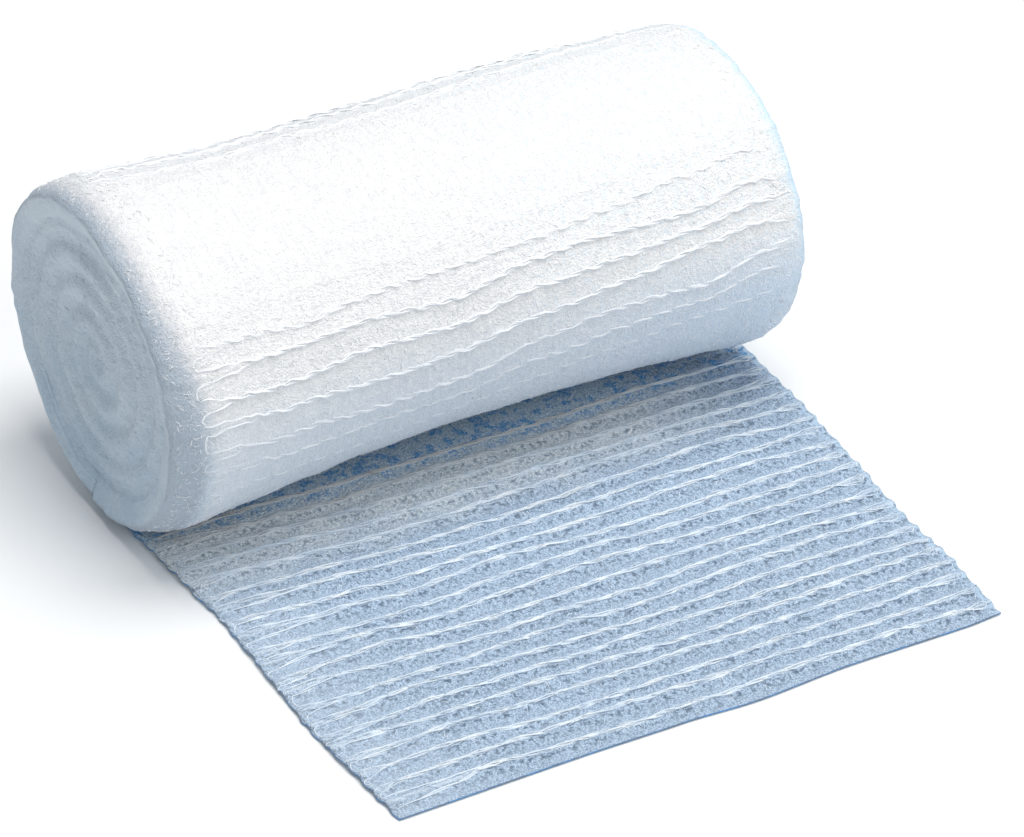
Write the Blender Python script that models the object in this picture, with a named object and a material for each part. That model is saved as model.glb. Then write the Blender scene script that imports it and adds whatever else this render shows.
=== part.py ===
"""Gauze bandage roll: one strip of ribbed gauze, wound up, with its loose end laid flat in front.

X runs along the roll, the loose end lies towards -Y, +Z is up and the floor is z = 0.
The strip is drawn as it lies: an oval winding whose outer turn ends in a step underneath, and a flat
tongue that starts at that step. While it is drawn, y = 0 is under the roll's axis, at the step.
Sizes are in millimetres and are written out in metres. Angles around the roll are in degrees:
0 at the step, 90 at the back, 180 on top, 270 in front and 360 at the step again, one turn further in.
"""

import math
from collections import namedtuple

import bmesh
import bpy
import numpy as np
from mathutils import Vector

MM = 0.001
GAP = 0.3                          # between the two pieces
MEETING = 0.001                    # points closer than this are one point

# The wound roll's oval section, under its ribs
ROLL_LENGTH = 80.4
ROLL_HALF_WIDTH = 20.4
ROLL_HALF_HEIGHT = 18.65
ROLL_AXIS_HEIGHT = 20.0
BARREL_STATIONS = 12

# The outer turn hangs lower where it meets the floor, on a flat spot short of both ends
SAG = 2.15
SAG_REACH = 48.0                   # the angle by which it has gone
FLAT_FROM, FLAT_TO = 31.0, 38.0    # it fades between these distances from the roll's middle

# The roll's ribs: three lines each, along the roll
ROLL_RIBS = 40
ROLL_RIB_HEIGHT = 0.45
ROLL_RIB_HALF_ANGLE = 2.1
STEP_CALM = 25.0                   # beside the step the ribs run straight for this angle
BACK_WANDER = 0.6                  # how much the ribs wander at the back, next to the front
FRONT_FROM, FRONT_TO = 150.0, 260.0
ROLL_RIPPLE = 0.9
ROLL_RIPPLE_ALONG, ROLL_RIPPLE_AROUND = 9.0, 2.3

# The end faces: a dish inside the rim, with the spiral of the turns as soft swirls
DISH_RINGS = 13
DISH_DEPTH = 1.5
SWIRL_PITCH = 0.2                  # one visible turn, as a share of the radius
SWIRL_HEIGHT = 0.32
SWIRL_FADE = 0.12
RIM_WAVE = 0.25
WANDER_STOPS = 0.5                 # share of the radius by which the ribs' wander has died out

# The loose end
CLOTH_THICKNESS = 1.0
RIB_PITCH = 2.7
FIRST_RIB = -9.43                  # the rib nearest the roll
LOOSE_RIBS = 21
LOOSE_RIB_HEIGHT = 0.4
LOOSE_RIB_HALF_WIDTH = 0.55
PRESSED_TO, FULL_FROM = 8.5, 12.0  # ribs are pressed flat this near the axis, and full from there
SCALLOP = 0.35                     # how far the selvedge loops stand out
LOOSE_STATIONS = 12
LOOSE_RIPPLE = 0.18
LOOSE_RIPPLE_ALONG, LOOSE_RIPPLE_ACROSS = 0.27, 1.9
SWELL = 0.12                       # slow unevenness of the cloth's height
SWELL_ALONG, SWELL_ACROSS = 0.16, 0.31
CUT_END = -65.7                    # its mean place
CUT_STRIP = 0.9                    # plain cloth past the last rib

# Girth along the roll: what is added to the section's radius on top and low in front.
Girth = namedtuple("Girth", "along top low")
ROLL_GIRTH = [
    Girth(-40.0, 0.60, 0.80),
    Girth(-35.0, 0.75, 1.30),
    Girth(-28.0, 0.25, 0.70),
    Girth(-20.0, -0.25, 0.00),
    Girth(-13.0, -0.30, -0.60),
    Girth(-2.0, -0.20, -1.05),
    Girth(10.0, 0.00, -1.00),
    Girth(21.0, -0.05, -0.75),
    Girth(30.0, -0.45, -0.20),
    Girth(36.0, -0.65, 0.30),
    Girth(40.0, -0.65, 0.25),
]

# How much of each girth column counts at an angle around the roll.
Share = namedtuple("Share", "angle top low")
GIRTH_SHARES = [
    Share(0.0, 0.0, 0.0),
    Share(45.0, -0.9, 0.0),
    Share(90.0, 0.2, 0.0),
    Share(142.0, 1.0, 0.0),
    Share(232.0, 0.5, 0.5),
    Share(322.0, 0.0, 1.0),
    Share(360.0, 0.0, 1.0),
]

# The roll's ribs aren't straight: they rise towards its right end, in slow waves. Degrees.
Wander = namedtuple("Wander", "along by")
ROLL_WANDER = [
    Wander(-40.0, 0.0),
    Wander(-26.0, 2.2),
    Wander(-12.0, 0.8),
    Wander(-2.0, 0.2),
    Wander(7.0, -4.6),
    Wander(20.0, -6.6),
    Wander(33.0, -11.2),
    Wander(40.0, -10.2),
]

# The loose end's ribs lie nearer the roll at their left end. Millimetres.
LOOSE_WANDER = [
    Wander(-38.0, 1.05),
    Wander(-24.0, 0.65),
    Wander(-15.0, 0.0),
    Wander(5.0, -0.05),
    Wander(23.0, 0.3),
    Wander(38.0, -0.1),
]

# From the barrel round the rim to the groove inside it: share of the radius, depth below the end's
# plane, and how much of the ribs' height is left.
Ring = namedtuple("Ring", "share depth relief")
RIM = [
    Ring(1.000, 3.40, 1.0),
    Ring(0.996, 1.50, 0.8),
    Ring(0.972, 0.45, 0.4),
    Ring(0.935, 0.00, 0.0),
    Ring(0.875, 0.40, 0.0),
    Ring(0.835, 1.05, 0.0),
]
CREST = RIM[3]
GROOVE = RIM[5]

# The loose end's two selvedges, from the roll to the cut end.
Selvedge = namedtuple("Selvedge", "across left right")
SELVEDGES = [
    Selvedge(0.0, -38.1, 40.2),
    Selvedge(-8.0, -38.1, 40.2),
    Selvedge(-13.0, -38.0, 39.8),
    Selvedge(-21.0, -37.5, 39.6),
    Selvedge(-27.0, -37.1, 39.3),
    Selvedge(-33.0, -37.3, 38.7),
    Selvedge(-40.0, -37.6, 38.1),
    Selvedge(-47.0, -37.8, 37.8),
    Selvedge(-53.0, -37.7, 37.8),
    Selvedge(-60.0, -37.2, 37.4),
    Selvedge(-66.0, -36.8, 37.0),
]

# The cut end's line, from the left selvedge to the right one.
Cut = namedtuple("Cut", "along across")
CUT_LINE = [
    Cut(-37.0, -65.6),
    Cut(-15.0, -65.5),
    Cut(-3.0, -65.7),
    Cut(6.0, -66.2),
    Cut(18.0, -65.65),
    Cut(33.0, -65.9),
    Cut(38.0, -65.6),
]

Line = namedtuple("Line", "angle height")              # one line along the roll
Round = namedtuple("Round", "end along ring")          # one line around it, on an end or on the barrel
Across = namedtuple("Across", "place height on_rib")   # one line across the loose end


def ramp(value, start, end):
    """0 before start, 1 after end, smooth between."""
    t = min(max((value - start) / (end - start), 0.0), 1.0)
    return t * t * (3 - 2 * t)


def read(table, name, key, at):
    """Reads a table's column at a value of its key column, eased between the rows."""
    rows = sorted(table, key=lambda row: getattr(row, key))
    keys = [getattr(row, key) for row in rows]
    after = min(max(int(np.searchsorted(keys, at)), 1), len(rows) - 1)
    before, behind = rows[after - 1], rows[after]
    share = ramp(at, getattr(before, key), getattr(behind, key))
    return getattr(before, name) * (1.0 - share) + getattr(behind, name) * share


# ---------------------------------------------------------------- the wound roll

def girth(along, angle):
    """What the roll's uneven girth adds to its radius at a place."""
    top = read(ROLL_GIRTH, "top", "along", along) * read(GIRTH_SHARES, "top", "angle", angle)
    low = read(ROLL_GIRTH, "low", "along", along) * read(GIRTH_SHARES, "low", "angle", angle)
    return top + low


def roll_wander(along, angle):
    """How far a rib has turned away from its own angle at a place along the roll."""
    calm = ramp(angle, 0.0, STEP_CALM) * ramp(360.0 - angle, 0.0, STEP_CALM)
    front = BACK_WANDER + (1.0 - BACK_WANDER) * ramp(angle, FRONT_FROM, FRONT_TO)
    phase = math.radians(along * ROLL_RIPPLE_ALONG + angle * ROLL_RIPPLE_AROUND)
    return calm * (front * read(ROLL_WANDER, "by", "along", along) + ROLL_RIPPLE * math.sin(phase))


def section(along, angle, share, rib):
    """Y and Z of the winding's outline at a place, drawn in to a share of its radius."""
    turned = math.radians(angle)
    outer = ramp(share, GROOVE.share, CREST.share)
    flat = 1.0 - ramp(abs(along), FLAT_FROM, FLAT_TO)
    sag = SAG * flat * (1.0 - ramp(angle, 0.0, SAG_REACH)) * outer
    extra = girth(along, angle) * outer + rib
    across = (ROLL_HALF_WIDTH + extra) * share * math.sin(turned)
    height = ROLL_AXIS_HEIGHT - (ROLL_HALF_HEIGHT + extra + sag) * share * math.cos(turned)
    lies_on = 0.0 if angle < 180.0 else CLOTH_THICKNESS + GAP
    return across, max(height, lies_on)


def roll_lines():
    """The lines along the roll: three to a rib between the step's foot, its top, and its foot again."""
    pitch = 360.0 / ROLL_RIBS
    lines = [Line(0.0, 0.0)]
    for rib in range(ROLL_RIBS):
        crest = (rib + 0.5) * pitch
        lines.append(Line(crest - ROLL_RIB_HALF_ANGLE, 0.0))
        lines.append(Line(crest, ROLL_RIB_HEIGHT))
        lines.append(Line(crest + ROLL_RIB_HALF_ANGLE, 0.0))
    return lines + [Line(360.0, 0.0), Line(0.0, 0.0)]


def end_rings():
    """The rings of one end, from the barrel to the middle of the end face."""
    rings = list(RIM)
    for step in range(1, DISH_RINGS + 1):
        inward = step / DISH_RINGS
        depth = GROOVE.depth + (DISH_DEPTH - GROOVE.depth) * inward
        rings.append(Ring(GROOVE.share * (1.0 - inward), depth, 0.0))
    return rings


def roll_rounds():
    """The lines around the roll, from the middle of its left end to the middle of its right end."""
    rings = end_rings()
    edge = ROLL_LENGTH / 2 - RIM[0].depth
    stations = np.linspace(-edge, edge, BARREL_STATIONS)[1:-1]
    left = [Round(-1, None, ring) for ring in reversed(rings)]
    barrel = [Round(0, float(along), RIM[0]) for along in stations]
    right = [Round(1, None, ring) for ring in rings]
    return left + barrel + right


def end_depth(ring, angle, end):
    """Depth under the end's plane: the dish, its spiral swirls and the rim's slow waves."""
    inside = GROOVE.share - ring.share
    fade = ramp(ring.share, 0.0, SWIRL_FADE) * ramp(inside, 0.0, SWIRL_FADE)
    turn = ring.share / SWIRL_PITCH + angle / 360.0
    swirl = SWIRL_HEIGHT * fade * math.cos(2 * math.pi * turn)
    wave = RIM_WAVE * (1.0 + math.sin(math.radians(2 * angle + 70.0 * end))) / 2
    return ring.depth + swirl + wave * ring.share


def roll_point(lines, rounds, line, row):
    """The place of one point of the winding. Inside the groove a rib's three lines are one."""
    angle, height = lines[line]
    end, along, ring = rounds[row]
    if ring.share <= GROOVE.share and 0 < line < len(lines) - 2:
        crest = 3 * ((line - 1) // 3) + 2
        angle = lines[crest].angle
    if end:
        along = end * (ROLL_LENGTH / 2 - end_depth(ring, angle, end))
    angle = angle + roll_wander(along, angle) * ramp(ring.share, WANDER_STOPS, CREST.share)
    return Vector((along, *section(along, angle, ring.share, height * ring.relief))) * MM


def wound_roll():
    lines = roll_lines()
    rounds = roll_rounds()
    return grid(len(lines), len(rounds), lambda line, row: roll_point(lines, rounds, line, row))


# ---------------------------------------------------------------- the loose end

def loose_lines():
    """The lines across the loose end, from the step to the cut end, four to a rib."""
    lines = [Across(-GAP, 0.0, 0.5), Across((FIRST_RIB - GAP) / 2, 0.0, 0.5)]
    for rib in range(LOOSE_RIBS):
        crest = FIRST_RIB - RIB_PITCH * rib
        height = LOOSE_RIB_HEIGHT * ramp(-crest, PRESSED_TO, FULL_FROM)
        lines.append(Across(crest + RIB_PITCH / 2, 0.0, 0.0))
        lines.append(Across(crest + LOOSE_RIB_HALF_WIDTH, 0.0, 0.6))
        lines.append(Across(crest, height, 1.0))
        lines.append(Across(crest - LOOSE_RIB_HALF_WIDTH, 0.0, 0.6))
    return lines + [Across(CUT_END + CUT_STRIP, 0.0, 0.5), Across(CUT_END, 0.0, 0.5)]


def loose_point(lines, column, row):
    """The place of one point of the loose end's upper face.

    The weft turns back at the right end of each rib, and between two ribs at their left ends.
    """
    place, height, on_rib = lines[row]
    left = read(SELVEDGES, "left", "across", place) - SCALLOP * (1.0 - on_rib)
    right = read(SELVEDGES, "right", "across", place) + SCALLOP * on_rib
    along = left + (right - left) * column / (LOOSE_STATIONS - 1)
    loose = ramp(-place, 0.0, -FIRST_RIB) * ramp(place - CUT_END, 0.0, RIB_PITCH)
    cut = 1.0 - ramp(place - CUT_END, 0.0, RIB_PITCH)
    ripple = LOOSE_RIPPLE * math.sin(along * LOOSE_RIPPLE_ALONG + place * LOOSE_RIPPLE_ACROSS)
    across = place + loose * (read(LOOSE_WANDER, "by", "along", along) + ripple)
    across += cut * (read(CUT_LINE, "across", "along", along) - CUT_END)
    swell = SWELL * loose * (1.0 + math.sin(along * SWELL_ALONG + place * SWELL_ACROSS))
    return Vector((along, across, CLOTH_THICKNESS + height + swell)) * MM


def loose_end():
    """The ribbed upper face, walls down from its border, and a flat underside."""
    lines = loose_lines()
    bm = grid(LOOSE_STATIONS, len(lines), lambda column, row: loose_point(lines, column, row))
    border = [edge for edge in bm.edges if edge.is_boundary]
    walls = bmesh.ops.extrude_edge_only(bm, edges=border)
    foot = [item for item in walls["geom"] if isinstance(item, bmesh.types.BMVert)]
    for vert in foot:
        vert.co.z = 0.0
    under = [edge for edge in bm.edges if edge.is_boundary]
    sole = bmesh.ops.contextual_create(bm, geom=under)
    bmesh.ops.triangulate(bm, faces=sole["faces"])
    return bm


# ---------------------------------------------------------------- meshes and objects

def grid(columns, rows, place):
    """A grid whose points go where place(column, row) says, with those that meet made one."""
    bm = bmesh.new()
    bmesh.ops.create_grid(bm, x_segments=columns - 1, y_segments=rows - 1, size=0.5)
    for vert in bm.verts:
        column = round((vert.co.x + 0.5) * (columns - 1))
        row = round((vert.co.y + 0.5) * (rows - 1))
        vert.co = place(column, row)
    bmesh.ops.remove_doubles(bm, verts=bm.verts, dist=MEETING * MM)
    return bm


def gauze(name, colour):
    """White cotton gauze: no gloss and no metal."""
    material = bpy.data.materials.new(name)
    material.use_nodes = True
    shader = material.node_tree.nodes["Principled BSDF"]
    shader.inputs["Base Color"].default_value = (*colour, 1.0)
    shader.inputs["Roughness"].default_value = 0.95
    shader.inputs["Metallic"].default_value = 0.0
    return material


def make_object(bm, name, material, shift):
    """Turns a closed bmesh into a named object, shifted to the part's own frame."""
    bmesh.ops.translate(bm, verts=bm.verts, vec=shift)
    bmesh.ops.recalc_face_normals(bm, faces=bm.faces)
    mesh = bpy.data.meshes.new(name)
    bm.to_mesh(mesh)
    bm.free()
    mesh.materials.append(material)
    mesh.shade_smooth()
    mesh.set_sharp_from_angle(angle=math.radians(50.0))
    bpy.context.scene.collection.objects.link(bpy.data.objects.new(name, mesh))


def main():
    for thing in list(bpy.data.objects):
        bpy.data.objects.remove(thing)
    roll = wound_roll()
    tongue = loose_end()
    places = np.array([vert.co for bm in (roll, tongue) for vert in bm.verts])
    middle = (places.min(axis=0) + places.max(axis=0)) / 2
    shift = Vector((-middle[0], -middle[1], 0.0))    # the origin is under the middle of the whole part
    make_object(roll, "wound_roll", gauze("roll_gauze", (0.88, 0.90, 0.92)), shift)
    make_object(tongue, "loose_end", gauze("loose_gauze", (0.78, 0.85, 0.91)), shift)


main()
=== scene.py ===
"""Gauze bandage roll: the looks of a conforming gauze bandage, wound up, with its loose end laid flat.

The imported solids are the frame. This add-on models over them what the eye sees: the ribbed cloth of the
outer turn with its rims and dished ends, the weft yarn laid back and forth and looped at the selvedges,
the fine knitted ground, the edges of the turns, and the sheer single layer in front.

Everything is drawn in millimetres. While it is drawn, x = 0 is the roll's middle, y = 0 is the step under
its axis where the outer turn ends, and the loose end lies towards -y. Angles around the roll are in
degrees: 0 at the step, 90 at the back, 180 on top, 270 in front and 360 at the step, one turn further in.
"""

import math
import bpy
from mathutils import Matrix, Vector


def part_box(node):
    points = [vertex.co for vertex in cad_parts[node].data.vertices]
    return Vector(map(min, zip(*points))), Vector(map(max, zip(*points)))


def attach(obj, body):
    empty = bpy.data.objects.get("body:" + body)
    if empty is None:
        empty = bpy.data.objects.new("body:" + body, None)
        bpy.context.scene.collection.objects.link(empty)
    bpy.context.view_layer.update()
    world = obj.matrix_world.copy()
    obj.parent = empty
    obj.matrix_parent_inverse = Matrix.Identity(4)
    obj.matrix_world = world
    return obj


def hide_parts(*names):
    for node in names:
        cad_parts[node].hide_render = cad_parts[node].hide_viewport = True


bl_info = {
    "name": "Gauze bandage roll",
    "version": (1, 0, 0),
    "blender": (4, 5, 0),
    "location": "View3D > Sidebar > Gauze",
    "description": "Models a conforming gauze bandage, wound into a roll with its loose end laid out",
    "category": "Object",
}

import bmesh
import bpy
import numpy as np
from bpy.props import FloatProperty, FloatVectorProperty, IntProperty, PointerProperty
from mathutils import Matrix, Vector

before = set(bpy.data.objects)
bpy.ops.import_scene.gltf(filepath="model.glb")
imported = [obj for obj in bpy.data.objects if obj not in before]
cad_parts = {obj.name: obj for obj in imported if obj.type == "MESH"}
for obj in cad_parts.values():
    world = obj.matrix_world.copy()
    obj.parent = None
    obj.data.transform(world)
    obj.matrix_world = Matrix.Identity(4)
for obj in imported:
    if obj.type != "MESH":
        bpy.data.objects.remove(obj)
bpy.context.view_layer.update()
ROLL_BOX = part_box("wound_roll")
LOOSE_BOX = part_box("loose_end")

MM = 0.001
BODY = "root"

# -------------------- sizes of the two solids

GAP = 0.3                                 # between the roll's step and the loose end
HALF_LENGTH = (ROLL_BOX[1][0] - ROLL_BOX[0][0]) / MM / 2
ZERO = Vector(((ROLL_BOX[0][0] + ROLL_BOX[1][0]) / 2 / MM, LOOSE_BOX[1][1] / MM + GAP, 0.0))

HALF_WIDTH = 20.4                         # the winding's oval section
HALF_HEIGHT = 18.65
AXIS_HEIGHT = 20.0
LIES_ON = 1.3                             # the inner turn lies this high, on the loose end
SAG, SAG_REACH = 2.15, 48.0               # the outer turn sags by this much over these degrees to the step
FLAT_FROM, FLAT_TO = 31.0, 38.0           # but not towards its ends, from here to here

ROLL_RIBS = 40
RIB_ANGLE = 360.0 / ROLL_RIBS
RIB_GIRTH = 3.1                           # millimetres from rib to rib around the roll
TUCK_END = 0.32                           # past a rib the cloth tucks in, and swells again to the next
TAUT_AT, TAUT_REACH, TAUT_SHARE = 203.0, (8.0, 38.0), 0.7   # the ribs lie flatter over the top
HIDDEN_REACH = (20.0, 44.0)               # and the yarn is hidden there
BACK_RIBS = ((19.0, 15.5), (8.0, 13.0))   # ribs behind between which painted shade turns the cloth grey, and white again
FRONT_RIBS = ((24.0, 27.0), (33.5, 31.0))  # those in front between which painted shade darkens the cloth just past each rib
HAZE_FROM, HAZE_TO = 288.0, 304.0         # between these angles the ribs melt into the cloth low in front
STEP_CALM = 25.0                          # within this angle of the step the ribs straighten
OWN_WANDER = 0.9                          # degrees by which each rib strays on its own
BACK_WANDER = 0.6                         # the share of the slow waves that the ribs follow behind
FRONT_FROM, FRONT_TO = 150.0, 260.0       # between these angles it grows to the whole

RIM_ARC = 3.9                             # from the barrel's end over to the crest of the rim
RIM_FALL = 2.3                            # and on down into the groove inside it
RIM_DEPTH = 3.4                           # how far the crest stands past the barrel's end
CREST_SHARE, GROOVE_SHARE = 0.935, 0.835  # shares of the radius at the crest and in the groove
GROOVE_DEPTH, DISH_DEPTH = 1.05, 1.5      # how deep the groove and the middle lie under the crest
GROOVE_CURVE = 1.6                        # how late the groove falls
MEAN_RADIUS = 19.5                        # of the winding's oval section
BARREL_HALF = HALF_LENGTH - RIM_DEPTH
RIM_END = RIM_ARC + RIM_FALL
FACE_RADIUS = GROOVE_SHARE * MEAN_RADIUS
FULL_REACH = BARREL_HALF + RIM_END + FACE_RADIUS
SWIRL_PITCH, SWIRL_HEIGHT, SWIRL_FADE = 0.2, 0.32, 0.12   # the low spiral swirls of the end faces
RIM_WAVE = 0.25                           # how far the end faces wave in and out

LOOSE_RIBS = 21
RIB_PITCH = 2.7                           # from rib to rib on the loose end
FIRST_RIB = -9.43                         # where its first rib lies
CUT_END = -65.7                           # and where it is cut
LOOSE_HALF = 38.7                         # half the loose end's mean width
PRESSED_TO, FULL_FROM = 8.5, 12.0         # the roll presses it flat this far out, and from here it is ribbed

# The roll's uneven girth: a place along it, and what it adds to the radius on top and low down.
ROLL_GIRTH = [
    (-40.0, 0.60, 0.80),
    (-35.0, 0.75, 1.30),
    (-28.0, 0.25, 0.70),
    (-20.0, -0.25, 0.00),
    (-13.0, -0.30, -0.60),
    (-2.0, -0.20, -1.05),
    (10.0, 0.00, -1.00),
    (21.0, -0.05, -0.75),
    (30.0, -0.45, -0.20),
    (36.0, -0.65, 0.30),
    (40.0, -0.65, 0.25),
]

# An angle round the roll, and the shares there of what is added on top and low down.
GIRTH_SHARES = [
    (0.0, 0.0, 0.0),
    (45.0, -0.9, 0.0),
    (90.0, 0.2, 0.0),
    (142.0, 1.0, 0.0),
    (232.0, 0.5, 0.5),
    (322.0, 0.0, 1.0),
    (360.0, 0.0, 1.0),
]

# The ribs aren't straight: on the roll they rise towards its right end, in slow waves. A place along the
# roll, and the degrees by which the ribs have turned there.
ROLL_WANDER = [
    (-40.0, 0.0),
    (-26.0, 2.2),
    (-12.0, 0.8),
    (-2.0, 0.2),
    (7.0, -4.6),
    (20.0, -6.6),
    (33.0, -11.2),
    (40.0, -10.2),
]

# In front each rib has its own course: the rib, and the degrees by which it leaves its even angle at
# eight stations along the roll.
LINE_STATIONS = (-34.0, -24.0, -14.0, -4.0, 6.0, 16.0, 26.0, 35.0)
FRONT_LINES = [
    (24, 3.2, 0.8, -1.1, -2.0, -3.0, -5.0, -7.5, -9.0),
    (25, 0.5, -0.5, -0.5, -1.0, -3.2, -5.5, -8.0, -9.4),
    (26, 0.9, 1.5, -1.0, -1.8, -3.5, -6.2, -10.0, -11.5),
    (27, -0.6, -1.5, -2.5, -1.0, -5.6, -7.1, -6.6, -10.0),
    (28, 0.3, 0.5, -1.5, -0.3, -4.6, -6.8, -8.4, -11.9),
    (29, -1.1, 0.1, 1.4, 1.0, -4.2, -6.5, -10.8, -13.2),
    (30, 0.6, 1.9, 4.5, 3.6, -2.6, -6.4, -5.8, -12.6),
    (31, -1.0, 2.1, 3.5, 3.4, -2.5, -6.0, -7.5, -13.5),
    (32, 0.6, 3.1, 5.6, 3.8, -1.2, -5.0, -8.8, -12.5),
]
LINES_FADE = (20.0, 24.0, 32.0, 36.0)     # ribs between which these lines rule

# A place across the loose end, and where its left and its right selvedge are there.
SELVEDGES = [
    (0.0, -38.1, 40.2),
    (-8.0, -38.1, 40.2),
    (-13.0, -38.0, 39.8),
    (-21.0, -37.5, 39.6),
    (-27.0, -37.1, 39.3),
    (-33.0, -37.3, 38.7),
    (-40.0, -37.6, 38.1),
    (-47.0, -37.8, 37.8),
    (-53.0, -37.7, 37.8),
    (-60.0, -37.2, 37.4),
    (-66.0, -36.8, 37.0),
]

# A place along the cut end, and how far out the cut runs there.
CUT_LINE = [
    (-37.0, -65.6),
    (-15.0, -65.5),
    (-3.0, -65.7),
    (6.0, -66.2),
    (18.0, -65.65),
    (33.0, -65.9),
    (38.0, -65.6),
]

# The loose end's ribs: the rib, and how far it leaves its even place, towards the roll, at eight stations.
RIB_STATIONS = (-35.0, -24.0, -17.0, -6.0, 4.5, 15.0, 26.0, 37.0)
RIB_LINES = [
    (0, 1.2, 0.8, 0.2, 0.0, -0.1, 0.0, 0.2, -0.2),
    (1, 1.3, 0.8, 0.0, 0.1, -0.1, 0.1, 0.2, -0.4),
    (2, 1.3, 0.9, 0.2, -0.1, 0.0, -0.2, 0.1, -0.4),
    (3, 1.5, 1.1, 0.0, -0.2, -0.2, -0.3, 0.0, -0.7),
    (4, 1.5, 0.5, -0.1, -0.3, -0.2, 0.2, 0.3, -0.6),
    (5, 0.8, 0.1, -0.7, -0.8, -0.7, -0.5, 0.3, -0.8),
    (6, 1.5, 0.6, -0.2, -0.7, -0.4, -0.3, -0.8, -0.3),
    (7, 1.2, 0.1, -0.6, -0.4, -0.5, -0.2, -0.2, -0.9),
    (8, 1.2, 0.7, -0.5, 0.4, -0.5, -0.9, -0.9, -0.7),
    (9, 0.2, -0.3, -0.5, -0.1, 0.0, -0.6, -0.5, -0.6),
    (10, 0.8, 0.6, -0.4, -0.2, 0.2, -0.5, -0.4, -0.5),
    (11, 0.0, 0.8, -0.3, -0.7, -0.5, -0.4, -0.5, -0.6),
    (12, 0.9, 0.0, -0.5, -0.4, -1.0, -0.5, -0.2, -0.7),
    (13, -0.2, -0.3, -0.5, -0.1, -0.9, -0.3, 0.0, -0.3),
    (14, 0.1, 0.6, -0.1, -0.5, -0.8, -0.5, -0.3, -0.5),
    (15, -0.3, 0.3, -0.1, -0.5, -0.2, -0.4, -0.4, -0.5),
    (16, 0.8, 0.4, 0.2, -0.1, -0.6, -0.2, 0.1, -0.1),
    (17, 0.5, 1.0, 0.3, 0.0, 0.0, 0.0, 0.0, -0.1),
    (18, 0.5, 0.7, 0.0, -0.4, -0.6, -0.3, 0.0, 0.1),
    (19, 0.4, 0.5, 0.6, 0.6, -0.1, -0.1, -0.1, -0.1),
    (20, 0.6, 0.8, 0.2, -0.1, -0.3, 0.0, 0.2, -0.1),
]

# -------------------- the weft and the knit

LOOSE_PAIR_TURN = 8.4                     # a rib's two passes of yarn cross twice in this length
ROLL_PAIR_TURN = 5.4                      # and oftener on the roll
LOOP = 0.3                                # how far a selvedge loop bows out
LOOP_DRIFT = 0.5                          # how unevenly the loops end
DRIFT_FROM = 9.0                          # how far from its ends the yarn follows them
LEFT_OPENS = (2.0, 15.0)                  # a pair opens this far from the left selvedge
LEFT_GAP = (0.2, 0.95)                    # and by this much to each side
RIGHT_OPENS = (3.0, 7.0)                  # the same from the right one
RIGHT_GAP = (0.1, 0.5)
PLY_TURN = 9.5                            # one turn of a yarn's two plies
YARN_OVER = 0.13                          # how far a pass stands up where it crosses over the other
SUNK_TOP, SUNK_FRONT, SUNK_LOW = 0.33, 0.12, 0.25   # how far the yarn sinks into the cloth
SUNK_RIMS = (0.12, 0.08)                  # and how much further at the left and the right rim
LEFT_SHORT = 2.2                          # the yarn ends this much sooner at the left
LEFT_FROM, RIGHT_FROM, END_SPAN = (-0.2, -0.8), 0.15, 1.15   # where the rims' painted shade and the end's grey begin, in rim arcs
LEFT_TURNS = (205.0, 275.0)               # on the left it begins further in between these angles
OVER_CREST = (0.8, 1.1)                   # and it turns paler again, out of the painted shade, where the rim faces outwards
SCALLOP_PITCH, SCALLOP = 2.3, (0.26, 0.1)  # a rib's small waves, behind and in front
SCALLOP_RIBS = (17.0, 24.0)               # ribs between which the one turns into the other
LOW_YARN = (34.0, 18.0)                   # heights between which painted shade turns the roll's yarn greyer
FIBRE_STEP = np.array([-0.5, 0.0, 0.5])   # the three points of a fibre, along it and up from its ends
FIBRE_UP = np.array([0.0, 1.0, 0.0])
NEAR_ROLL = (-23.0, -15.0)                # from here to here a grey tone is painted on the loose end for the roll's shadow
NEAR_YARN = (-16.5, -10.5)                # and from here to here its yarn takes painted shade
NEAR_END = (36.0, 20.0)                   # but not at its right end, which the light reaches
SELVEDGE_BAND = (1.2, 0.1)                # the pale band begins and is full this far inside the selvedge
LOW_CLOTH = (25.0, 17.0)                  # heights between which painted shade turns the roll's cloth darker and bluer
LOW_RIGHT = (12.0, 38.0)                  # and places along it between which painted shade makes that bluer still
LOW_RIM = (30.0, 12.0)                    # those between which painted shade turns its rims bluer
LIT_END = (8.0, 36.0)                     # and those between which painted light turns its end faces paler
LEFT_PALE = (-24.0, -34.0)                # reaches between which painted light turns the loose end paler at its left
BORDER_DRIFT = 6.0                        # how unevenly the grey tone close by the roll ends
RIGHT_PART = (0.0, 10.0)                  # between these places the left rim's tones turn into the right's
RIM_TONE, EDGE_TONE, FACE_TONE = (0.1, 0.6), (0.5, 0.95), (1.1, 1.8)   # endness over which each sets in: the painted shade of the rims and the left edge, then the end faces
COURSE_UNIT = 10.0                        # millimetres of reach to one unit of the cloth's own map
WALE_STREAKS = (22.0, 1.1, 1.0)           # streaks to a course unit of reach and to a rib
COTTON = {"Roughness": 0.92, "Specular IOR Level": 0.25, "Sheen Weight": 0.15, "Sheen Roughness": 0.6}
MEET = 0.001 * MM                         # points of a grid that are closer than this are one
ROLL_STEP, LOOSE_STEP = 0.8, 0.55         # between two points of the yarn's course
KNIT_STEP, KNIT_SWAY = 0.42, 0.22         # between two points of a wale, and how far they sway
KNIT_LIFT = (-0.23, 0.02)                 # and how far they dip and rise
NOISE_CELLS = 97                          # cells to a side of the uneven noise, before it repeats


def ramp(value, start, end):
    """0 before start, 1 after end, smooth between."""
    t = np.clip((value - start) / (end - start), 0.0, 1.0)
    return t * t * (3.0 - 2.0 * t)


def blend(first, second, share):
    """The first value where the share is 0, the second where it is 1."""
    return first * (1.0 - share) + second * share


def read(table, at, column=1):
    """A table's column at values of its first column, eased between the rows."""
    rows = np.array(sorted(table))
    keys, values = rows[:, 0], rows[:, column]
    after = np.clip(np.searchsorted(keys, at), 1, len(keys) - 1)
    return blend(values[after - 1], values[after], ramp(at, keys[after - 1], keys[after]))


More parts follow.
